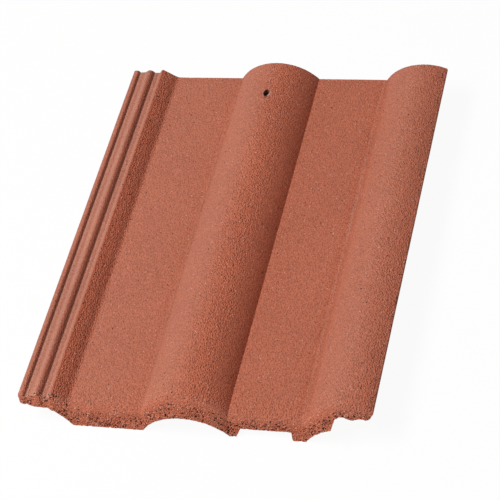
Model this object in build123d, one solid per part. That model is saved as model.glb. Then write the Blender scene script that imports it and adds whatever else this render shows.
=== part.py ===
from build123d import *
import os
from math import sqrt

# Interlocking concrete roof tile with two rolls and two pans, cast in one piece.
# Sections are drawn with x across the tile from the outer edge of the underlock
# and z up from the top face of the pans. y runs from the nose to the head.
# All sizes are in millimetres.

# Overall
length = 420.0
roll_pitch = 150.0
shell = 13.2
roll_shell = 11.0

# Rolls: equal circular arcs with a sharp crease at each foot
roll_width = 80.5
roll_height = 22.1
first_roll_x = 156.5

# Nose: leans forward as it goes down, and seats on the tile below
nose_depth = 20.5
nose_reach = 10.5
lap_reach = 4.8
nose_bar_back = 7.0
nose_bar_left = 47.6
nose_bar_left_slope = 1.2
nose_bar_left_round = 8.0
nose_bar_right = 15.2
nose_bar_right_run = 7.0

# Notch through the nose under the second pan
notch_width = 45.0
notch_offset = 1.8
notch_left_draft = 4.4
notch_right_draft = 0.9

# Underlock along the left side: three ribs with two water channels between them
channel_floor = 6.3
channel_one_width = 4.0
channel_two_width = 5.0
outer_rib_height = 2.8
outer_rib_width = 5.6
outer_rib_fall = 2.0
middle_rib_height = 3.6
middle_rib_rise = 4.6
middle_rib_width = 3.0
middle_rib_fall = 4.2
ridge_height = 4.6
ridge_rise = 3.8
ridge_width = 1.6
edge_round = 2.2
rib_round = 0.7
pan_round = 5.0
slope_shell = 10.7
underlock_shell = 10.3
underlock_edge_shell = 6.0
underlock_taper_width = 17.0
underlock_edge_draft = 2.2

# Overlock along the right side: its underside fits over the next underlock
overlock_end = 22.8
overlock_bevel = 1.8
overlock_bevel_drop = 2.4
overlock_edge_draft = 2.4
overlock_edge_height = 3.7
overlock_start = 12.0
outer_groove_gap = 3.1
middle_groove_gap = 1.4
inner_rib_gap = 2.5
outer_rib_gap = 3.7
lock_rib_width = 2.3

# Weather bars across the underside, behind the nose
weather_bar_height = 4.0
weather_bar_width = 7.0
weather_bar_places = (26.0, 44.0)
weather_bar_left = 46.0
weather_bar_right = 18.5

# Hanging nibs under the head of each pan
nib_width = 46.0
nib_length = 22.0
nib_inset = 4.0
nib_draft = 3.0

# Nail hole near the top of the first roll
nail_hole_diameter = 6.0
nail_hole_from_head = 42.0
nail_hole_offset = 1.8

# Share of the shell's thickness at which what hangs under it is rooted
inside = 0.5

# Worked out from the sizes above
side_length = length - nose_reach
cover_width = 2 * roll_pitch
second_roll_x = first_roll_x + roll_pitch
roll_foot = roll_width / 2
roll_radius = (roll_foot**2 + roll_height**2) / (2 * roll_height)
roll_z = roll_height - roll_radius
nose_lean = nose_reach / nose_depth
first_pan_x = first_roll_x - roll_pitch / 2
second_pan_x = first_roll_x + roll_pitch / 2

# Heights and places across the underlock, added up from its outer edge
outer_rib_z = channel_floor + outer_rib_height
middle_rib_z = channel_floor + middle_rib_height
ridge_z = channel_floor + ridge_height
underlock_z = channel_floor - underlock_shell
channel_one = outer_rib_width + outer_rib_fall
channel_one_end = channel_one + channel_one_width
middle_rib = channel_one_end + middle_rib_rise
middle_rib_end = middle_rib + middle_rib_width
channel_two = middle_rib_end + middle_rib_fall
channel_two_end = channel_two + channel_two_width
ridge = channel_two_end + ridge_rise
ridge_end = ridge + ridge_width
slope_foot = ridge_end + ridge_z
slope_under_x = slope_foot - slope_shell * sqrt(2)
pan_start = slope_foot + pan_round


def arc_z(radius, centre_z, offset):
    return centre_z + sqrt(radius**2 - offset**2)


# The overlock's outer edge, on from where the second roll's arc ends
overlock_x = second_roll_x + overlock_end
arc_end = overlock_end - overlock_bevel
arc_end_z = arc_z(roll_radius, roll_z, arc_end)
overlock_z = arc_end_z - overlock_bevel_drop


def first_wave(depth, radius, centre_z, start_x):
    """First pan from start_x, then the arc of the first roll."""
    foot = sqrt(radius**2 - (centre_z + depth) ** 2)
    left = (first_roll_x - foot, -depth)
    right = (first_roll_x + foot, -depth)
    crown = (first_roll_x, centre_z + radius)
    return [Line((start_x, -depth), left), ThreePointArc(left, crown, right)]


def second_wave(depth, radius, centre_z, end):
    """Arc of the second roll, up to an offset from the middle of that roll."""
    foot = sqrt(radius**2 - (centre_z + depth) ** 2)
    middle = (end - foot) / 2
    start = (second_roll_x - foot, -depth)
    via = (second_roll_x + middle, arc_z(radius, centre_z, middle))
    return ThreePointArc(start, via, (second_roll_x + end, arc_z(radius, centre_z, end)))


def wave(depth, radius, centre_z, start_x, end):
    """Pans and rolls at one depth below the weather face."""
    first = first_wave(depth, radius, centre_z, start_x)
    second = second_wave(depth, radius, centre_z, end)
    return [*first, Line(first[-1] @ 1, second @ 0), second]


def lowered_wave(depth, start_x, end):
    """Weather face carried straight down, as it meets the tile below."""
    return wave(depth, roll_radius, roll_z - depth, start_x, end)


def shell_wave(share, start_x, end):
    """Pans and rolls at a share of the shell's thickness under the weather face."""
    return wave(share * shell, roll_radius - share * roll_shell, roll_z, start_x, end)


def slab(edges, from_y, to_y):
    """Section closed by its edges and drawn out along the tile."""
    face = Plane.XZ.offset(-from_y) * make_face(edges)
    return extrude(face, amount=to_y - from_y, dir=(0, 1, 0))


def underlock_corners():
    """Corners over the ribs and channels, down the slope to the first pan."""
    return [
        (outer_rib_width, outer_rib_z),
        (channel_one, channel_floor),
        (channel_one_end, channel_floor),
        (middle_rib, middle_rib_z),
        (middle_rib_end, middle_rib_z),
        (channel_two, channel_floor),
        (channel_two_end, channel_floor),
        (ridge, ridge_z),
        (ridge_end, ridge_z),
        (slope_foot, 0),
        (pan_start, 0),
    ]


def overlock_corners():
    """Corners under the overlock, from the roll's hollow out and up to its bevel."""
    outer_groove_z = outer_rib_z + outer_groove_gap
    middle_groove_z = middle_rib_z + middle_groove_gap
    inner_rib = cover_width + channel_one + channel_one_width / 2
    outer_rib = cover_width + channel_two - lock_rib_width / 2
    return [
        (cover_width, outer_groove_z),
        (cover_width + outer_rib_width / 2, outer_groove_z),
        (inner_rib, channel_floor + inner_rib_gap),
        (inner_rib + lock_rib_width, channel_floor + inner_rib_gap),
        (cover_width + middle_rib, middle_groove_z),
        (cover_width + middle_rib_end - rib_round, middle_groove_z),
        (outer_rib, channel_floor + outer_rib_gap),
        (outer_rib + lock_rib_width, channel_floor + outer_rib_gap),
        (overlock_x - overlock_edge_draft, overlock_z - overlock_edge_height),
        (overlock_x, overlock_z),
        (overlock_x - overlock_bevel, arc_end_z),
    ]


def body():
    """Shell of the tile with its underlock and overlock."""
    corners = [(0, channel_floor), (0, outer_rib_z), *underlock_corners()]
    radii = [edge_round] + [rib_round] * 9 + [pan_round]
    top = lowered_wave(0, pan_start, arc_end)
    under = shell_wave(1, slope_under_x + shell, -overlock_start)
    left = Polyline(
        (0, channel_floor),
        (underlock_edge_draft, channel_floor - underlock_edge_shell),
        (underlock_taper_width, underlock_z),
        (slope_under_x - underlock_z, underlock_z),
        (slope_under_x + shell, -shell),
    )
    right = FilletPolyline(under[-1] @ 1, *overlock_corners(), radius=rib_round)
    edges = [FilletPolyline(*corners, radius=radii), *top, right, *under, left]
    return slab(edges, -nose_reach, side_length)


def nose_bar():
    """Bar under the nose, whose underside repeats the rolls of the tile below."""
    flank_z = underlock_z + underlock_shell / 2
    flank_x = nose_bar_left - (nose_depth + flank_z) / nose_bar_left_slope
    start_x = nose_bar_left + nose_bar_left_round
    flank = FilletPolyline(
        (pan_start, -inside * shell),
        (flank_x, flank_z),
        (nose_bar_left, -nose_depth),
        (start_x, -nose_depth),
        radius=[0, nose_bar_left_round],
    )
    low = lowered_wave(nose_depth, start_x, -nose_bar_right)
    high = shell_wave(inside, pan_start, nose_bar_right_run - nose_bar_right)
    end = Line(low[-1] @ 1, high[-1] @ 1)
    return slab([flank, *low, end, *high], -nose_reach, nose_bar_back)


def notch():
    """Space under the second pan, from the bottom of the nose up to the shell."""
    start_x = second_pan_x - notch_offset - notch_width / 2
    end_x = start_x + notch_width
    edges = Polyline(
        (start_x, -shell),
        (start_x - notch_left_draft, -nose_depth),
        (end_x + notch_right_draft, -nose_depth),
        (end_x, -shell),
        close=True,
    )
    return slab([edges], -nose_reach, nose_bar_back)


def weather_bar(place):
    """Low bar across the underside that stops water driven up the tile."""
    low = lowered_wave(shell + weather_bar_height, weather_bar_left, -weather_bar_right)
    high = shell_wave(inside, weather_bar_left, -weather_bar_right)
    left = Line(low[0] @ 0, high[0] @ 0)
    right = Line(low[-1] @ 1, high[-1] @ 1)
    return slab([*low, *high, left, right], place, place + weather_bar_width)


def nose_cutter():
    """Space ahead of the nose: the weather face carried forward and down."""
    margin = pan_round
    top_z = roll_height + nose_depth
    corners = Polyline((-margin, outer_rib_z), *underlock_corners())
    top = lowered_wave(0, pan_start, arc_end)
    frame = Polyline(
        top[-1] @ 1,
        (overlock_x, overlock_z),
        (overlock_x + margin, overlock_z),
        (overlock_x + margin, top_z),
        (-margin, top_z),
        (-margin, outer_rib_z),
    )
    start = Plane((0, margin * nose_lean, margin), x_dir=(1, 0, 0), z_dir=(0, -1, 0))
    face = start * make_face([corners, *top, frame])
    drop = (nose_depth + 2 * margin) * sqrt(1 + nose_lean**2)
    return extrude(face, amount=drop, dir=(0, -nose_lean, -1))


def lap_cutter(from_x, to_x):
    """Space ahead of a side lap, whose front is cut square further back."""
    place = Pos((from_x + to_x) / 2, -nose_reach, 0)
    base = place * Rectangle(to_x - from_x, 2 * (nose_reach - lap_reach))
    return extrude(base, amount=nose_depth + roll_height, both=True)


def nib(pan_x):
    """Block under the head of a pan, with an upright face for the batten."""
    root = nib_width / 2
    tip = root - nib_draft
    edges = Polyline(
        (pan_x - root, -inside * shell),
        (pan_x - tip, -nose_depth),
        (pan_x + tip, -nose_depth),
        (pan_x + root, -inside * shell),
        close=True,
    )
    batten_y = side_length - nib_inset - nib_length
    return slab([edges], batten_y, batten_y + nib_length)


def nail_hole():
    x = first_roll_x - nail_hole_offset
    y = side_length - nail_hole_from_head
    return Pos(x, y, roll_height) * Cylinder(nail_hole_diameter / 2, 2 * roll_height)


tile = body() + (nose_bar() - notch())
for place in weather_bar_places:
    tile += weather_bar(place)
for pan_x in (first_pan_x, second_pan_x):
    tile += nib(pan_x)
tile -= nose_cutter()
tile -= lap_cutter(-edge_round, channel_two_end)
tile -= lap_cutter(cover_width, overlock_x + edge_round)
tile -= nail_hole()

# Origin in the middle of the tile's outline, at the level that it lies on
box = tile.bounding_box()
roof_tile = Pos(-box.center().X, -box.center().Y, -box.min.Z) * tile

os.makedirs("parts", exist_ok=True)
export_step(roof_tile, "parts/roof_tile.step")
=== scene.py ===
import math
import bpy
import numpy as np
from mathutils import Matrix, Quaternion, Vector, noise


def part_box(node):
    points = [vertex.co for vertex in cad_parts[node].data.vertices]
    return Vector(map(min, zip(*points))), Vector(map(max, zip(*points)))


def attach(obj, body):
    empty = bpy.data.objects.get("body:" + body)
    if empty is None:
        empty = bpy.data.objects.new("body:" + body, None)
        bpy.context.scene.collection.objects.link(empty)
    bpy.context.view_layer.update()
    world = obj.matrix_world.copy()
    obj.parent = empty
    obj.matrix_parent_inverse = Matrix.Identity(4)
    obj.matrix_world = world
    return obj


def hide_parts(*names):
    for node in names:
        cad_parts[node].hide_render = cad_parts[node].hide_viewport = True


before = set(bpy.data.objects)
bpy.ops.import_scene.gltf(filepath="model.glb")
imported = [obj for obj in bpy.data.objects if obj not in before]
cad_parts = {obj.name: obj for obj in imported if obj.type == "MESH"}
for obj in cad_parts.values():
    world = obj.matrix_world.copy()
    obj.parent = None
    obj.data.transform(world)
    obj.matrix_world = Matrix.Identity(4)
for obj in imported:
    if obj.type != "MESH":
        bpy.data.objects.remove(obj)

print("frame loaded:", sorted(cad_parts))
mm = 0.001
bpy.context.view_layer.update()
tileLow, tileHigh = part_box("roof_tile")

# The tile's section, in millimetres: x from the outer edge of the underlock,
# z up from the top face of the pans. A corner is (x, z, rounding).
section = {
    "rollPitch": 150.0,
    "rollWidth": 80.5,
    "rollHeight": 22.1,
    "firstRollX": 156.5,
    "shell": 13.2,
    "rollShell": 11.0,
    "underlock": [
        (0, 6.3, 0), (1.0, 9.1, 2.8), (5.7, 9.2, 2.2), (7.3, 6.5, 0.15), (12.3, 6.9, 1.6),
        (16.8, 9.7, 2.0), (18.9, 9.9, 2.4), (21.4, 8.7, 1.2), (23.1, 6.3, 0.15), (28.2, 6.3, 0.4),
        (31.3, 10.2, 0.5), (32.9, 10.9, 0.5), (47.2, 0, 5.0), (52.4, 0, 0),
    ],
    "underlockUnder": [
        (0, 6.3, 0), (2.2, 0.3, 0.8), (17, -4, 3), (33.6, -4, 1), (42.8, -13.2, 2), (47, -13.2, 0),
    ],
    "noseUnder": [
        (0, 6.3, 0), (2.2, 0.3, 0.8), (17, -4, 3), (34.8, -4, 0.8), (48.8, -20.5, 2.5), (60, -20.5, 0),
    ],
    "notch": [
        (200, -20.5, 0), (202.8, -20.5, 0.6), (207.2, -13.2, 0.6), (253.3, -13.2, 0.6),
        (253.9, -20.5, 0.6), (260, -20.5, 0),
    ],
    "overlockEdge": [(328.8, 16.7, 0.4), (329.3, 14.9, 0.4), (328.9, 14.2, 0)],
    "rollEnd": 327.4,
    "overlockUnder": [
        (300, 12.2, 1.0), (302.8, 12.2, 1.0), (309.6, 8.8, 0.8), (311.9, 8.8, 0.8), (316.2, 11.3, 0.8),
        (318.5, 11.3, 0.8), (322.2, 10, 0.8), (324.6, 10, 0.8), (326.9, 11.1, 0.8), (329.3, 14.8, 0),
    ],
    "hollowEnd": 294.5,
    "noseArcEnd": 291.3,
    "noseEnd": [(290, -1.4, 0), (291.3, -0.9, 0.8), (295.8, 9.8, 1.0)],
    "edgeSteps": 4,
    "arcGap": 1.1,
    "cornerShare": 0.48,
    "leastThick": 0.3,
}

# Along the tile, in millimetres from the top edge of the nose
run = {
    "sideLength": 409.5,
    "noseDepth": 20.5,
    "noseReach": 10.5,
    "noseRound": 9.0,
    "edgeRound": 0.7,
    "lapReach": 4.8,
    "lapLeftEnd": 28.4,
    "lapRightStart": 300.0,
    "barBack": 7.0,
    "weatherBars": [(26, 33), (44, 51)],
    "weatherBarHeight": 4.0,
    "weatherBarReach": (46, 288),
    "nibs": (81.5, 231.5),
    "nibHalfWidth": (21.6, 20.0),
    "nibRun": (383.5, 405.5),
    "sharpAngle": 48.0,
}

# The mesh: spacing of its columns over x and its rows along y, in millimetres, and counts of rows.
# A lip is the round between nose and weather face, an edge the small round at nose, head and below.
grid = {
    "decimals": 2,
    "columnGap": 1.05,
    "leastGap": 0.42,
    "edgeMargin": 0.04,
    "edgeSlack": 0.01,
    "lipReach": 0.62,
    "lipMost": 0.61,
    "lipShares": (0.22, 0.42),
    "lipBlend": 12,
    "edgeShare": 0.3,
    "noseRows": 28,
    "lipRows": 6,
    "edgeRows": 4,
    "headRows": 9,
    "barRows": 8,
    "barInset": 2,
    "barFree": 1,
    "firstGap": 0.8,
    "gapGrowth": 1.08,
    "longGap": 5.0,
    "fineGap": 1.2,
    "afterLip": 0.4,
    "headZone": 7,
    "headMargin": 1.6,
    "underGap": 13.0,
    "underEnds": (6, 3),
    "wall": 0.25,
    "wallFree": 2,
}

# The nail hole: its wall wavers, and the chip at its rim starts under the crown of the roll
nailHole = {
    "x": 154.7,
    "y": 367.5,
    "radius": 2.7,
    "stretch": 1.6,
    "sides": 40,
    "waverMiddle": -0.15,
    "waver": 0.30,
    "waverDetail": 1.6,
    "waverLength": 9,
    "chip": 0.35,
    "chipMiddle": 0.35,
    "chipUneven": 0.65,
    "chipDetail": 2.3,
    "chipSeed": (5, 0, 0),
    "chipFrom": 1.6,
    "chipTo": 0.2,
    "punchFrom": -3.0,
    "punchTo": 40.0,
    # share of painted shade on the wall of the hole
    "paintedShade": 0.8,
}


def roundCorners(corners, steps=3):
    # corner list to outline points, each rounded corner as a short arc-like curve
    points = []
    for i, (x, z, radius) in enumerate(corners):
        here = np.array((x, z), float)
        if radius == 0 or i in (0, len(corners) - 1):
            points.append(here)
            continue
        before = np.array(corners[i - 1][:2]) - here
        after = np.array(corners[i + 1][:2]) - here
        a, b = np.linalg.norm(before), np.linalg.norm(after)
        turn = math.pi - math.acos(np.dot(before, after) / a / b)
        reach = min(radius * math.tan(turn / 2), a * section["cornerShare"], b * section["cornerShare"])
        start, end = here + before / a * reach, here + after / b * reach
        for t in np.linspace(0, 1, steps + 1):
            points.append((1 - t) ** 2 * start + 2 * t * (1 - t) * here + t * t * end)
    return points


def rollArc(middle, radius, centreZ, depth, endX=None):
    # a roll as an arc, from its left foot to its right foot or to endX
    foot = math.sqrt(radius**2 - (centreZ + depth) ** 2)
    xs = np.linspace(middle - foot, endX or middle + foot, int(2 * foot / section["arcGap"]))
    return [np.array((x, centreZ + math.sqrt(radius**2 - (x - middle) ** 2))) for x in xs]


def sectionPaths():
    s = section
    half = s["rollWidth"] / 2
    radius = (half**2 + s["rollHeight"] ** 2) / (2 * s["rollHeight"])
    centreZ = s["rollHeight"] - radius
    first, second = s["firstRollX"], s["firstRollX"] + s["rollPitch"]
    drop = run["noseDepth"]
    inner = radius - s["rollShell"]

    top = roundCorners(s["underlock"]) + rollArc(first, radius, centreZ, 0)
    lastRoll = rollArc(second, radius, centreZ, 0, s["rollEnd"])
    edge = [(*lastRoll[-1], 0), *s["overlockEdge"]]
    top += lastRoll + roundCorners(edge, s["edgeSteps"])[1:-1]

    under = roundCorners(s["underlockUnder"]) + rollArc(first, inner, centreZ, s["shell"])
    lastUnder = rollArc(second, inner, centreZ, s["shell"], s["hollowEnd"])
    lap = roundCorners([(*lastUnder[-1], 0), *s["overlockUnder"]])
    under += lastUnder + lap[1:]

    nose = roundCorners(s["noseUnder"]) + rollArc(first, radius, centreZ - drop, drop)
    nose += roundCorners(s["notch"])
    nose += rollArc(second, radius, centreZ - drop, drop, s["noseArcEnd"])[:-1]
    nose += roundCorners([*s["noseEnd"], *s["overlockUnder"]])[1:]
    return [np.array(path) for path in (top, under, nose)]


def heights(path, xs):
    order = np.argsort(path[:, 0], kind="stable")
    return np.interp(xs, path[order, 0], path[order, 1])


def columnPlaces(paths):
    # x of every column: all outline points, with long gaps filled and tiny ones dropped
    found = np.unique(np.round(np.concatenate([p[:, 0] for p in paths]), grid["decimals"]))
    end = found[found <= paths[0][:, 0].max() + grid["edgeSlack"]].max() - grid["edgeMargin"]
    kept = [found[0]]
    for x in found[(found > 0) & (found < end)]:
        if x - kept[-1] >= grid["leastGap"]:
            kept.append(x)
    kept.append(end)
    xs = []
    for a, b in zip(kept, kept[1:]):
        parts = max(1, math.ceil((b - a) / grid["columnGap"]))
        xs += list(np.linspace(a, b, parts + 1)[:-1])
    return np.array(xs + [end])


def smooth(value, start, end):
    t = np.clip((value - start) / (end - start), 0, 1)
    return t * t * (3 - 2 * t)


def curve(a, corner, b, count):
    # rows of a curve that rounds a corner between two places
    rows = []
    for t in np.linspace(0, 1, count):
        rows.append([(1 - t) ** 2 * p + 2 * t * (1 - t) * c + t * t * q for p, c, q in zip(a, corner, b)])
    return rows


def stations():
    # y of the rows over the weather face, close together at the nose, the nail hole and the head
    places, y, gap = [], run["noseRound"] * grid["lipReach"], grid["firstGap"]
    while y < run["sideLength"] - grid["headMargin"]:
        places.append(y)
        nearHole = abs(y - nailHole["y"]) < 2 * nailHole["radius"]
        nearHead = y > run["sideLength"] - grid["headZone"]
        gap = min(gap * grid["gapGrowth"], grid["longGap"])
        y += grid["fineGap"] if nearHole or nearHead else gap
    return places


def underStations():
    # y of the rows under the tile, doubled at each upright wall
    wall, fine = grid["wall"], grid["fineGap"]
    walls = [run["barBack"], *np.ravel(run["weatherBars"]), *run["nibRun"]]
    front, back = grid["underEnds"]
    places = list(np.arange(run["barBack"] + front, run["sideLength"] - back, grid["underGap"]))
    places = [y for y in places if min(abs(y - w) for w in walls) > grid["wallFree"]]
    for w in walls:
        places += [w - wall, w + wall, w - fine, w + fine]
    return sorted((y for y in places if y > run["barBack"] - grid["barFree"]), reverse=True)


def underHeights(xs, y, under, nose, lowered):
    z = under.copy()
    if y < run["barBack"]:
        return nose.copy()
    for start, end in run["weatherBars"]:
        if start < y < end:
            left, right = run["weatherBarReach"]
            z = np.where((xs > left) & (xs < right), np.minimum(z, lowered), z)
    if run["nibRun"][0] < y < run["nibRun"][1]:
        root, tip = run["nibHalfWidth"]
        for middle in run["nibs"]:
            away = np.abs(xs - middle)
            nib = np.interp(away, [tip, root], [-run["noseDepth"], -section["shell"]])
            z = np.where(away < root, np.minimum(z, nib), z)
    return z


def tileRows(xs, top, under, nose):
    # one closed line round the tile for each column: up the nose, over, and back below
    r, g = run, grid
    lean = r["noseReach"] / r["noseDepth"]
    inLap = (xs < r["lapLeftEnd"]) | (xs > r["lapRightStart"])
    tall = top - nose
    reach = np.where(inLap, np.minimum(lean * tall, r["lapReach"]), lean * tall)
    rows = []
    least, most = g["lipShares"]
    lipShare = least + (most - least) * smooth(xs, r["lapLeftEnd"], r["lapLeftEnd"] + g["lipBlend"])
    lipTop = np.minimum(g["lipMost"] * r["noseRound"], lipShare * tall)
    lipZ = lipTop / math.hypot(1, lean)
    edge = np.minimum(r["edgeRound"], g["edgeShare"] * tall)

    def faceY(z):
        return -np.minimum(lean * (top - z), reach)

    low = nose + edge
    rows += curve((faceY(nose) + edge, nose), (faceY(nose), nose), (faceY(low), low), g["edgeRows"])
    high = top - lipZ
    for t in np.linspace(0, 1, g["noseRows"])[1:-1]:
        z = low + (high - low) * t
        rows.append((faceY(z), z))
    rows += curve((faceY(high), high), (0 * top, top), (lipTop, top), g["lipRows"])
    for y in stations():
        if y > g["lipReach"] * r["noseRound"] + g["afterLip"]:
            rows.append((0 * top + y, top))
    head = 0 * top + r["sideLength"]
    deep = top - under
    edge = np.minimum(r["edgeRound"], g["edgeShare"] * deep)
    rows += curve((head - edge, top), (head, top), (head, top - edge), g["edgeRows"])
    for t in np.linspace(0, 1, g["headRows"])[1:-1]:
        rows.append((head, top - edge - (deep - 2 * edge) * t))
    rows += curve((head, under + edge), (head, under), (head - edge, under), g["edgeRows"])
    lowered = top - section["shell"] - r["weatherBarHeight"]
    for y in underStations():
        rows.append((0 * top + y, underHeights(xs, y, under, nose, lowered)))
    first = r["barBack"] - g["barInset"]
    for t in np.linspace(0, 1, g["barRows"])[1:-1]:
        rows.append((first + (faceY(nose) + edge - first) * t, nose))
    return rows


def sectionOrigin():
    # where x, y and z of the section start in the frame, in millimetres
    return tileLow.x / mm, tileLow.y / mm + run["noseReach"], tileHigh.z / mm - section["rollHeight"]


def buildTile():
    top, under, nose = sectionPaths()
    xs = columnPlaces([top, under, nose])
    topZ, underZ, noseZ = heights(top, xs), heights(under, xs), heights(nose, xs)
    underZ = np.minimum(underZ, topZ - section["leastThick"])
    noseZ = np.minimum(noseZ, underZ)
    rows = tileRows(xs, topZ, underZ, noseZ)
    count, columns = len(rows), len(xs)
    places = np.zeros((columns, count, 3))
    places[:, :, 0] = xs[:, None]
    for j, (y, z) in enumerate(rows):
        places[:, j, 1] = y
        places[:, j, 2] = z
    origin = np.array(sectionOrigin())
    index = np.arange(columns * count).reshape(columns, count)
    a, b = index[:-1], index[1:]
    quads = np.stack([a, b, np.roll(b, -1, 1), np.roll(a, -1, 1)], -1).reshape(-1, 4)
    faces = quads.tolist() + [index[0][::-1].tolist(), index[-1].tolist()]
    mesh = bpy.data.meshes.new("roofTileConcrete")
    mesh.from_pydata(((places + origin) * mm).reshape(-1, 3).tolist(), [], faces)
    mesh.update()
    tile = bpy.data.objects.new("roofTileConcrete", mesh)
    bpy.context.scene.collection.objects.link(tile)
    print("tile mesh:", columns, "columns of", count, "rows,", len(quads) * 2, "triangles")
    return tile, places.reshape(-1, 3)


# Shares of painted sheen and of painted shade over the section, as (x, share), set until the shading
# across the
# tile agreed with the photo: painted highlight on the pans and on flanks facing the light, painted shade
# in rib flanks, channel floors and at the feet of the slope and the rolls. Then the pale seam at the foot
# of the last roll, the pale rim of the nail hole and the film on the lip of the nose, with pairs as in
# zones.
tints = {
    "paintedSheen": [
        (0, 0.12), (4, 0.10), (5.8, 0), (7.2, 0.14), (8.2, 0.24), (10.8, 0.11), (12.2, 0.13), (14.6, 0.23),
        (16.8, 0.17), (19.2, 0.04), (21.5, 0), (23.4, 0.22), (25.6, 0.10), (27, 0.13), (28.8, 0.24),
        (30.5, 0.18), (33.2, 0), (45, 0), (49, 0.065), (85, 0.055), (100, 0.045), (108, 0.04),
        (111.6, 0.02), (113.2, 0.07), (114.6, 0.06), (116.6, 0.05), (120, 0.09), (126, 0.085), (140, 0.08),
        (153, 0.045), (165, 0), (196, 0), (200, 0.03), (256, 0.03), (262.2, 0), (263.4, 0.08),
        (264.8, 0.08), (266.4, 0.02), (270, 0.03), (273, 0.065), (279, 0.07), (297, 0.08), (306, 0.055),
        (322, 0.02),
    ],
    "paintedShade": [
        (4.6, 0), (6.2, 0.42), (7.2, 0.5), (7.8, 0.02), (9, 0.06), (11.5, 0.12), (13.5, 0), (18, 0),
        (20.6, 0.4), (22.6, 0.6), (23.5, 0.02), (25, 0.10), (27, 0.16), (28, 0),
        (34, 0), (40, 0.08), (43.8, 0.3), (46.8, 0), (108, 0), (112, 0.025), (113.2, 0), (114.4, 0.02),
        (116, 0.06), (118, 0.035), (121, 0), (258, 0), (262, 0.04), (263.4, 0), (265.2, 0.02),
        (268, 0.07), (270.5, 0.04), (273, 0),
    ],
    "seamX": 265.4,
    "seamSide": (1.3, 0.3),
    "seamEnds": ((190, 215), (300, 275)),
    "seamFilm": 0.09,
    "rimFilm": 0.45,
    "rimReach": (2.4, 1.2),
    "rimShares": (0.3, 1.0),
    "rimSide": (-1.5, 1.5),
    "lipFilm": 0.03,
    "lipFilmBack": (8, 2),
    "lipFilmFront": (-6, -1),
    "sheenOffFront": (-2, -6),
    "paintedShadeFront": (-1, 3),
}

# Where the surface changes. A pair is where a share is nothing and where it is full, in millimetres
# over x or y, below the weather face or from the rim of the nail hole; frontDepth is a part of the
# height of the nose, and a pair of shares is the least and the most.
zones = {
    "below": (0.5, 3),
    "frontY": (1.0, -0.5),
    "frontDepth": (0.15, 0.6),
    "frontShares": (0.12, 1.0),
    "lapEnd": 46,
    "lapTorn": 0.85,
    "lapBack": (5, 1),
    "lapFace": (-5, -1),
    "lapSide": (3, 12),
    "headDepth": 0.8,
    "headTorn": 0.3,
    "holeReach": 2.5,
    "holeTorn": 0.6,
    "slope": (32.5, 35.5),
    "slopeFoot": (50, 45),
    "slopeCoarse": 0.6,
    "slopeTorn": 0.09,
    "edge": (312, 324),
    "edgeCoarse": 0.26,
    "lip": (324.0, 325.5),
    "lipTorn": 0.42,
    "crown": (142, 156),
    "crownEnd": (186, 170),
    "crownCoarse": 0.62,
    "lastCrown": (286, 300),
    "lastCrownCoarse": 0.38,
    "noseFar": (34, 6),
    "noseFarCoarse": 0.45,
    "noseNear": (8, -2),
    "noseNearCoarse": 0.4,
    "underFront": (-2, 2),
    "flank": (178, 188),
    "flankEnd": (199, 196),
    "flankFront": (0, 12),
    "flankPressed": 0.8,
}


def between(shares, amount):
    least, most = shares
    return least + (most - least) * amount


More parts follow.
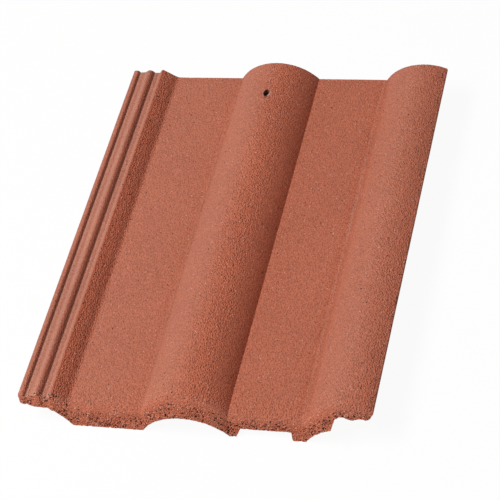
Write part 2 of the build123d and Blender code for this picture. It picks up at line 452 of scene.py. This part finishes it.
def markZones(tile, places):
    # torn: open and pitted; coarse: rough grain; pressed: sleek from the pallet or the former;
    # the pale share is painted sheen with pale marks added; the dark share is painted shade in creases and
    # channels
    x, y, z = places.T
    o, t = zones, tints
    topPath, _, nosePath = sectionPaths()
    top = heights(topPath, x)
    below = smooth(top - z, *o["below"])
    share = (top - z) / (top - heights(nosePath, x))
    holeX, holeY = x - nailHole["x"], y - nailHole["y"]
    fromRim = np.hypot(holeX, holeY) - nailHole["radius"]

    front = smooth(y, *o["frontY"]) * between(o["frontShares"], smooth(share, *o["frontDepth"]))
    lapFront = smooth(y, *o["lapBack"]) * smooth(y, *o["lapFace"]) * smooth(x, *o["lapSide"])
    front = np.where(x < o["lapEnd"], np.maximum(o["lapTorn"] * front, lapFront), front)
    head = run["sideLength"]
    torn = np.maximum(front, o["headTorn"] * smooth(y, head - o["headDepth"], head))
    torn = np.maximum(torn, o["holeTorn"] * smooth(fromRim, o["holeReach"], 0) * (1 - below))

    slope = smooth(x, *o["slope"]) * smooth(x, *o["slopeFoot"])
    crown = smooth(x, *o["crown"]) * smooth(x, *o["crownEnd"])
    nearNose = o["noseFarCoarse"] * smooth(y, *o["noseFar"])
    nearNose += o["noseNearCoarse"] * smooth(y, *o["noseNear"])
    coarse = np.maximum.reduce([
        o["slopeCoarse"] * slope, o["edgeCoarse"] * smooth(x, *o["edge"]), o["crownCoarse"] * crown,
        o["lastCrownCoarse"] * smooth(x, *o["lastCrown"]), nearNose,
    ])
    coarse = np.maximum(torn, (1 - below * smooth(y, *o["underFront"])) * coarse)
    edgeTorn = np.maximum(o["slopeTorn"] * slope, o["lipTorn"] * smooth(x, *o["lip"]))
    torn = np.maximum(torn, (1 - below) * edgeTorn)
    flank = o["flankPressed"] * smooth(x, *o["flank"]) * smooth(x, *o["flankEnd"])
    pressed = np.maximum(below * (1 - torn), flank * (1 - below) * smooth(y, *o["flankFront"]))

    seam = smooth(np.abs(x - t["seamX"]), *t["seamSide"])
    for ends in t["seamEnds"]:
        seam = seam * smooth(y, *ends)
    paintedSheen = np.interp(x, *zip(*t["paintedSheen"])) + t["seamFilm"] * seam
    rim = t["rimFilm"] * smooth(fromRim, *t["rimReach"])
    rim *= between(t["rimShares"], smooth(holeX - holeY, *t["rimSide"]))
    # the painted sheen is left off below the weather face and lower down the nose face
    sheenOff = np.maximum(below, smooth(y, *t["sheenOffFront"]))
    lip = t["lipFilm"] * smooth(y, *t["lipFilmBack"]) * smooth(y, *t["lipFilmFront"])
    paleMarksAndSheen = np.maximum.reduce([paintedSheen * (1 - sheenOff), rim * (1 - below), lip])
    # painted shade in rib flanks, channel floors and at the feet of slope and rolls, fading out toward the
    # nose
    paintedShadeShare = np.interp(x, *zip(*t["paintedShade"])) * (1 - below) * smooth(y, *t["paintedShadeFront"])
    shares = {"torn": torn, "coarse": coarse, "pressed": pressed, "paleMarksAndSheen": paleMarksAndSheen, "paintedShadeShare": paintedShadeShare}
    for name, values in shares.items():
        data = tile.data.attributes.new(name, "FLOAT", "POINT").data
        data.foreach_set("value", values.astype(np.float32))
    return torn


# unevenness of the pressed concrete: millimetres of depth, and the size of what makes it
uneven = {
    "waveDepth": 0.10, "waveSize": 38.0, "waveLevel": 0.3,
    "swellDepth": 0.05, "swellSize": 13.0, "swellLevel": 0.3,
    "grainDepth": 0.42, "grainSize": 1.9, "grainLevel": 0.15,
    "chipDepth": 0.45, "chipSize": 4.6, "chipLevel": 0.05,
    "pitDepth": 1.25, "pitSpacing": 2.1, "pitRadius": 0.42, "pitCluster": 11.0, "clusterPull": 1.5,
    "pitRarity": 0.4, "pitPick": 7.3, "pitDark": 2.3, "pitDarkest": 0.95,
    "leastTorn": 0.02,
}


def roughen(tile, torn):
    # slow waves all over; broken grains, chips and open pits where the concrete was torn
    u = uneven
    count = len(tile.data.vertices)
    co, normals = np.zeros(count * 3), np.zeros(count * 3)
    tile.data.vertices.foreach_get("co", co)
    tile.data.vertices.foreach_get("normal", normals)
    co, normals = co.reshape(-1, 3), normals.reshape(-1, 3)
    depth, pitShade = np.zeros(count), np.zeros(count, np.float32)
    for i in range(count):
        p = Vector(co[i]) / mm
        depth[i] = u["waveDepth"] * (noise.noise(p / u["waveSize"]) - u["waveLevel"])
        depth[i] += u["swellDepth"] * (noise.noise(p / u["swellSize"]) - u["swellLevel"])
        if torn[i] > u["leastTorn"]:
            grain = u["grainDepth"] * (noise.noise(p / u["grainSize"]) - u["grainLevel"])
            chip = -u["chipDepth"] * max(0.0, noise.noise(p / u["chipSize"]) - u["chipLevel"])
            near, spots = noise.voronoi(p / u["pitSpacing"])
            chance = noise.cell(spots[0] * u["pitPick"])
            chance += u["clusterPull"] * noise.noise(p / u["pitCluster"])
            pit = max(0.0, 1 - (near[0] / u["pitRadius"]) ** 2) if chance > u["pitRarity"] else 0.0
            depth[i] += torn[i] * (grain + chip - u["pitDepth"] * pit)
            # how dark the pit is coloured: painted shade
            pitShade[i] = torn[i] * min(u["pitDarkest"], u["pitDark"] * pit)
    depth = np.minimum(depth, 0.0)    # only inward, so nothing stands proud of the section
    moved = co + normals * depth[:, None] * mm
    moved = np.clip(moved, np.array(tileLow), np.array(tileHigh))
    tile.data.vertices.foreach_set("co", moved.ravel())
    tile.data.attributes.new("pitShade", "FLOAT", "POINT").data.foreach_set("value", pitShade)
    tile.data.update()


def drillNailHole(tile):
    # the hole is punched while the concrete is green, so its rim is chipped
    h = nailHole
    *corner, base = sectionOrigin()
    centre = np.array(corner) + (h["x"], h["y"])
    crown = section["rollHeight"]
    levels = [
        (h["punchFrom"], 0.0), (crown - h["chipFrom"], 0.0),
        (crown + h["chipTo"], h["chip"]), (h["punchTo"], h["chip"]),
    ]
    verts = []
    n = h["sides"]
    for z, wide in levels:
        for i in range(n):
            angle = 2 * math.pi * i / n
            spin = Vector((math.cos(angle), math.sin(angle), 0.0))
            waver = noise.noise(spin * h["waverDetail"] + Vector((0, 0, z / h["waverLength"])))
            chip = noise.noise(spin * h["chipDetail"] + Vector(h["chipSeed"]))
            radius = h["radius"] + h["waverMiddle"] + h["waver"] * waver
            radius += wide * (h["chipMiddle"] + h["chipUneven"] * chip)
            x, y = centre + radius * np.array((math.cos(angle), h["stretch"] * math.sin(angle)))
            verts.append((x * mm, y * mm, (base + z) * mm))
    last = len(levels) - 1
    faces = [tuple(range(n))[::-1], tuple(range(last * n, (last + 1) * n))]
    for level in range(last):
        for i in range(n):
            a, b = level * n + i, level * n + (i + 1) % n
            faces.append((a, b, b + n, a + n))
    mesh = bpy.data.meshes.new("nailPunch")
    mesh.from_pydata(verts, [], faces)
    punch = bpy.data.objects.new("nailPunch", mesh)
    bpy.context.scene.collection.objects.link(punch)
    cut = tile.modifiers.new("nailHole", "BOOLEAN")
    cut.object, cut.operation, cut.solver = punch, "DIFFERENCE", "EXACT"
    dg = bpy.context.evaluated_depsgraph_get()
    cutMesh = bpy.data.meshes.new_from_object(tile.evaluated_get(dg))
    tile.modifiers.clear()
    tile.data = cutMesh

    # painted shade darkens the wall of the hole
    count = len(cutMesh.vertices)
    co, paintedShadeShare = np.zeros(count * 3), np.zeros(count, np.float32)
    cutMesh.vertices.foreach_get("co", co)
    cutMesh.attributes["paintedShadeShare"].data.foreach_get("value", paintedShadeShare)
    across, along = (co.reshape(-1, 3)[:, :2] / mm - centre).T
    paintedShadeShare[np.hypot(across, along / h["stretch"]) < h["radius"] + h["chip"]] = h["paintedShade"]
    cutMesh.attributes["paintedShadeShare"].data.foreach_set("value", paintedShadeShare)
    bpy.data.objects.remove(punch)


def addNode(tree, kind, links=None, **settings):
    node = tree.nodes.new("ShaderNode" + kind)
    for name, value in settings.items():
        setattr(node, name, value)
    for socket, value in (links or {}).items():
        if isinstance(value, bpy.types.NodeSocket):
            tree.links.new(value, node.inputs[socket])
        else:
            node.inputs[socket].default_value = value
    return node


def linear(hexColour):
    # sRGB hex to linear RGBA
    values = [int(hexColour[i:i + 2], 16) / 255 for i in (1, 3, 5)]
    return [v / 12.92 if v <= 0.04045 else ((v + 0.055) / 1.055) ** 2.4 for v in values] + [1.0]


# Brick-red concrete, iron oxide all through, extruded on a pallet and cut while green.
# To the eye: matt, sandy, a few pinholes and pale sand grains; the cut nose and the slope are torn open,
# coarse and full of small voids. Painted on top: sheen where light falls, shade in hollows, voids and
# creases.
# Sand and grit are drawn coarser than the real sand, so that they show at this size.
# Sizes and reliefs are in millimetres; a pair is for smooth and for torn or coarse
# concrete, or a lowest and a highest value.
concrete = {
    "base": "#BE694E",
    # darker colour painted in the hollows of the sand relief, as shade
    "deep": "#994F38",
    "pale": "#E6B7A2",
    # pale colour for the painted sheen and for pale marks
    "paleMarksAndSheen": "#D0C4B4",
    # colour of the painted shade in creases and in the nail hole
    "paintedShade": "#4A1F16",
    # colour of the painted shade in pinholes, voids and pits
    "void": "#230E0A",
    "sandSize": 1.3,
    "sandDetail": 1.0,
    "sandSharpness": 0.5,
    "sandRelief": (0.90, 2.0),
    "sandShadeRange": (0.28, 0.58),
    "gritSize": 1.35,
    "gritStretch": 0.8,
    "gritRelief": (0.50, 1.3),
    "gritTones": (0.95, 1.05),
    "gritLost": (0.006, 0.22),
    "pinSizes": (0.26, 0.46),
    "pinEdge": (-0.04, 0.08),
    "paleShare": (0.022, 0.24),
    "paleEdge": (0.5, 0.25),
    "paleMost": 0.6,
    "voidSpacing": 2.6,
    "voidShare": 0.30,
    "voidDepth": 0.9,
    "voidSizes": (0.14, 0.34),
    "voidEdge": (-0.05, 0.06),
    "clusterSize": 13.0,
    "clusterDetail": 2.0,
    "clusterRange": (0.40, 0.62),
    "crowding": (0.1, 2.0),
    "cloudSize": 55.0,
    "cloudDetail": 2.0,
    "cloudRange": (0.3, 0.7),
    "cloudTones": (0.96, 1.04),
    "freshTone": 1.26,
    "pressedRelief": 0.35,
    "roughness": 0.72,
    "ior": 1.5,
    "specular": 0.25,
}


def concreteMaterial():
    c = concrete
    material = bpy.data.materials.new("castConcreteBrickRed")
    material.use_nodes = True
    tree = material.node_tree
    tree.nodes.clear()
    place = addNode(tree, "TexCoord").outputs["Object"]
    # the grains are drawn out a little along the tile, as it is extruded
    drawn = addNode(tree, "Mapping", {"Vector": place, "Scale": (1, c["gritStretch"], 1)}).outputs[0]
    coarse, torn, pressed, paleMarksAndSheen, paintedShadeShare, pitShade = [
        addNode(tree, "Attribute", attribute_name=name).outputs["Fac"]
        for name in ("coarse", "torn", "pressed", "paleMarksAndSheen", "paintedShadeShare", "pitShade")
    ]

    links = {"Vector": drawn, "Scale": 1 / (c["sandSize"] * mm), "Detail": c["sandDetail"],
             "Roughness": c["sandSharpness"]}
    sand = addNode(tree, "TexNoise", links).outputs["Fac"]
    grit = addNode(tree, "TexVoronoi", {"Vector": drawn, "Scale": 1 / (c["gritSize"] * mm)}).outputs
    voids = addNode(tree, "TexVoronoi", {"Vector": place, "Scale": 1 / (c["voidSpacing"] * mm)}).outputs
    links = {"Vector": place, "Scale": 1 / (c["clusterSize"] * mm), "Detail": c["clusterDetail"]}
    clusters = addNode(tree, "TexNoise", links).outputs["Fac"]
    links = {"Vector": place, "Scale": 1 / (c["cloudSize"] * mm), "Detail": c["cloudDetail"]}
    clouds = addNode(tree, "TexNoise", links).outputs["Fac"]
    gritRandom = addNode(tree, "SeparateColor", {"Color": grit["Color"]}).outputs
    voidRandom = addNode(tree, "SeparateColor", {"Color": voids["Color"]}).outputs

    # where grains fell out: rare pinholes on the weather face, crowds of them in torn concrete
    (start, end), (low, high) = c["clusterRange"], c["crowding"]
    links = {"Value": clusters, "From Min": start, "From Max": end, "To Min": low, "To Max": high}
    crowd = addNode(tree, "MapRange", links).outputs["Result"]
    least, most = c["gritLost"]
    share = addNode(tree, "MapRange", {"Value": torn, "To Min": least, "To Max": most}).outputs["Result"]
    share = addNode(tree, "Math", {0: share, 1: crowd}, operation="MULTIPLY").outputs[0]
    lost = addNode(tree, "Math", {0: gritRandom[0], 1: share}, operation="LESS_THAN").outputs[0]
    low, high = c["pinSizes"]
    links = {"Value": gritRandom[1], "To Min": low, "To Max": high}
    size = addNode(tree, "MapRange", links).outputs["Result"]
    inside = addNode(tree, "Math", {0: size, 1: grit["Distance"]}, operation="SUBTRACT").outputs[0]
    start, end = c["pinEdge"]
    links = {"Value": inside, "From Min": start, "From Max": end}
    inside = addNode(tree, "MapRange", links, interpolation_type="SMOOTHSTEP").outputs["Result"]
    pin = addNode(tree, "Math", {0: lost, 1: inside}, operation="MULTIPLY").outputs[0]

    # voids between the larger stones, only in torn concrete
    share = addNode(tree, "Math", {0: torn, 1: c["voidShare"]}, operation="MULTIPLY").outputs[0]
    share = addNode(tree, "Math", {0: share, 1: crowd}, operation="MULTIPLY").outputs[0]
    opened = addNode(tree, "Math", {0: voidRandom[0], 1: share}, operation="LESS_THAN").outputs[0]
    low, high = c["voidSizes"]
    links = {"Value": voidRandom[1], "To Min": low, "To Max": high}
    size = addNode(tree, "MapRange", links).outputs["Result"]
    inside = addNode(tree, "Math", {0: size, 1: voids["Distance"]}, operation="SUBTRACT").outputs[0]
    start, end = c["voidEdge"]
    links = {"Value": inside, "From Min": start, "From Max": end}
    inside = addNode(tree, "MapRange", links, interpolation_type="SMOOTHSTEP").outputs["Result"]
    void = addNode(tree, "Math", {0: opened, 1: inside}, operation="MULTIPLY").outputs[0]
    hole = addNode(tree, "Math", {0: pin, 1: void}, operation="MAXIMUM").outputs[0]
    # painted shade in the pinholes, voids and pits
    holeShade = addNode(tree, "Math", {0: hole, 1: pitShade}, operation="MAXIMUM").outputs[0]

    # colour: painted shade in the sand hollows, pale grains, painted sheen and pale marks, painted shade
    # in the rib flanks and creases, painted shade in the openings
    # painted shade: where the sand relief is low, the colour goes toward the deep one
    start, end = c["sandShadeRange"]
    links = {"Value": sand, "From Min": start, "From Max": end}
    sandHeight = addNode(tree, "MapRange", links).outputs["Result"]
    links = {"Factor": sandHeight, "A": linear(c["deep"]), "B": linear(c["base"])}
    colour = addNode(tree, "Mix", links, data_type="RGBA").outputs["Result"]
    least, most = c["paleShare"]
    links = {"Value": torn, "To Min": 1 - least, "To Max": 1 - most}
    share = addNode(tree, "MapRange", links).outputs["Result"]
    grain = addNode(tree, "Math", {0: gritRandom[0], 1: share}, operation="GREATER_THAN").outputs[0]
    start, end = c["paleEdge"]
    links = {"Value": grit["Distance"], "From Min": start, "From Max": end, "To Max": c["paleMost"]}
    inside = addNode(tree, "MapRange", links, interpolation_type="SMOOTHSTEP").outputs["Result"]
    grain = addNode(tree, "Math", {0: grain, 1: inside}, operation="MULTIPLY").outputs[0]
    layers = ((grain, "pale"), (paleMarksAndSheen, "paleMarksAndSheen"), (paintedShadeShare, "paintedShade"), (holeShade, "void"))
    for amount, name in layers:
        links = {"Factor": amount, "A": colour, "B": linear(c[name])}
        colour = addNode(tree, "Mix", links, data_type="RGBA").outputs["Result"]
    (start, end), (low, high) = c["cloudRange"], c["cloudTones"]
    links = {"Value": clouds, "From Min": start, "From Max": end, "To Min": low, "To Max": high}
    cloud = addNode(tree, "MapRange", links).outputs["Result"]
    low, high = c["gritTones"]
    links = {"Value": gritRandom[2], "To Min": low, "To Max": high}
    single = addNode(tree, "MapRange", links).outputs["Result"]
    links = {"Value": coarse, "To Min": 1.0, "To Max": c["freshTone"]}
    rough = addNode(tree, "MapRange", links).outputs["Result"]
    value = addNode(tree, "Math", {0: cloud, 1: single}, operation="MULTIPLY").outputs[0]
    value = addNode(tree, "Math", {0: value, 1: rough}, operation="MULTIPLY").outputs[0]
    colour = addNode(tree, "HueSaturation", {"Color": colour, "Value": value}).outputs["Color"]

    # relief in metres: waves of sand, round grains, and the openings; calmer where pressed
    low, high = c["sandRelief"]
    links = {"Value": coarse, "To Min": low * mm, "To Max": high * mm}
    relief = addNode(tree, "MapRange", links).outputs["Result"]
    waves = addNode(tree, "Math", {0: sand, 1: relief}, operation="MULTIPLY").outputs[0]
    low, high = c["gritRelief"]
    links = {"Value": coarse, "To Min": low * mm, "To Max": high * mm}
    relief = addNode(tree, "MapRange", links).outputs["Result"]
    domes = addNode(tree, "Math", {0: grit["Distance"], 1: relief}, operation="MULTIPLY").outputs[0]
    height = addNode(tree, "Math", {0: waves, 1: domes}, operation="SUBTRACT").outputs[0]
    links = {"Value": pressed, "To Min": 1.0, "To Max": c["pressedRelief"]}
    calm = addNode(tree, "MapRange", links).outputs["Result"]
    height = addNode(tree, "Math", {0: height, 1: calm}, operation="MULTIPLY").outputs[0]
    deep = addNode(tree, "Math", {0: hole, 1: c["voidDepth"] * mm}, operation="MULTIPLY").outputs[0]
    height = addNode(tree, "Math", {0: height, 1: deep}, operation="SUBTRACT").outputs[0]
    bump = addNode(tree, "Bump", {"Height": height, "Distance": 1.0}).outputs["Normal"]

    links = {"Base Color": colour, "Roughness": c["roughness"], "IOR": c["ior"],
             "Specular IOR Level": c["specular"], "Normal": bump}
    shader = addNode(tree, "BsdfPrincipled", links).outputs["BSDF"]
    addNode(tree, "OutputMaterial", {"Surface": shader})
    return material


studio = {
    "floorSize": 9.0,
    "floorColour": "#F4F4F2",
    "whiteShare": 0.94,
    "skyLevel": 0.16,
    "boxAway": 2.6,
    "boxSize": 1.0,
    "softboxes": {
        "softboxLeft": {"from": (-0.495, -0.070, 0.866), "level": 1.87},
        "softboxFront": {"from": (-0.364, -0.405, 0.839), "level": 1.12},
    },
}


def seenDirectly(tree):
    # 1 for rays from the camera and in reflections, where the white ground shows
    path = addNode(tree, "LightPath").outputs
    links = {0: path["Is Camera Ray"], 1: path["Is Glossy Ray"]}
    both = addNode(tree, "Math", links, operation="MAXIMUM").outputs[0]
    links = {0: both, 1: path["Is Transmission Ray"]}
    return addNode(tree, "Math", links, operation="MAXIMUM").outputs[0]


def buildStudio():
    s = studio
    half = s["floorSize"] / 2
    mesh = bpy.data.meshes.new("studioFloor")
    corners = [(x * half, y * half, tileLow.z) for x, y in ((-1, -1), (1, -1), (1, 1), (-1, 1))]
    mesh.from_pydata(corners, [], [(0, 1, 2, 3)])
    floor = bpy.data.objects.new("studioFloor", mesh)
    bpy.context.scene.collection.objects.link(floor)
    paper = bpy.data.materials.new("matPaperWhite")  # seamless paper: plain, keeps the shadow
    paper.use_nodes = True
    tree = paper.node_tree
    tree.nodes.clear()
    matt = addNode(tree, "BsdfDiffuse", {"Color": linear(s["floorColour"])}).outputs[0]
    white = addNode(tree, "Emission", {"Color": (1, 1, 1, 1), "Strength": 1.0}).outputs[0]
    links = {0: seenDirectly(tree), 1: s["whiteShare"]}
    share = addNode(tree, "Math", links, operation="MULTIPLY").outputs[0]
    mixed = addNode(tree, "MixShader", {0: share, 1: matt, 2: white}).outputs[0]
    addNode(tree, "OutputMaterial", {"Surface": mixed})
    mesh.materials.append(paper)

    world = bpy.data.worlds.new("softRoom")
    bpy.context.scene.world = world
    world.use_nodes = True
    tree = world.node_tree
    tree.nodes.clear()
    links = {"Value": seenDirectly(tree), "To Min": s["skyLevel"], "To Max": 1.0}
    level = addNode(tree, "MapRange", links).outputs["Result"]
    sky = addNode(tree, "Background", {"Color": (1, 1, 1, 1), "Strength": level}).outputs[0]
    addNode(tree, "OutputWorld", {"Surface": sky})

    for name, box in s["softboxes"].items():
        lamp = bpy.data.lights.new(name, "AREA")
        lamp.shape = "DISK"
        lamp.size = s["boxSize"]
        lamp.energy = box["level"] * math.pi * s["boxAway"] ** 2    # a box further off needs more
        light = bpy.data.objects.new(name, lamp)
        bpy.context.scene.collection.objects.link(light)
        towards = Vector(box["from"]).normalized()
        light.location = towards * s["boxAway"]
        light.rotation_mode = "QUATERNION"
        light.rotation_quaternion = (-towards).to_track_quat("-Z", "Y")


view = {
    "from": (0.52046, -1.05779, 1.29912),
    "at": (0.00237, 0.00163, 0.0),
    "roll": -17.56,
    "lens": 133.27,
    "sensor": 36.0,
    "clip": (0.05, 30.0),
}


def buildCamera():
    lens = bpy.data.cameras.new("camera")
    lens.sensor_width = view["sensor"]
    lens.lens = view["lens"]
    lens.clip_start, lens.clip_end = view["clip"]
    camera = bpy.data.objects.new("camera", lens)
    bpy.context.scene.collection.objects.link(camera)
    camera.location = view["from"]
    camera.rotation_mode = "QUATERNION"
    look = (Vector(view["at"]) - Vector(view["from"])).to_track_quat("-Z", "Y")
    camera.rotation_quaternion = look @ Quaternion((0, 0, 1), math.radians(view["roll"]))
    bpy.context.scene.camera = camera


tile, places = buildTile()
roughen(tile, markZones(tile, places))
print("tile roughened")
drillNailHole(tile)
print("nail hole cut:", len(tile.data.polygons), "faces")
tile.data.polygons.foreach_set("use_smooth", [True] * len(tile.data.polygons))
tile.data.set_sharp_from_angle(angle=math.radians(run["sharpAngle"]))
tile.data.materials.clear()
tile.data.materials.append(concreteMaterial())
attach(tile, "root")
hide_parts("roof_tile")

bpy.context.scene.view_settings.view_transform = "Standard"
buildStudio()
buildCamera()
print("studio and camera ready")
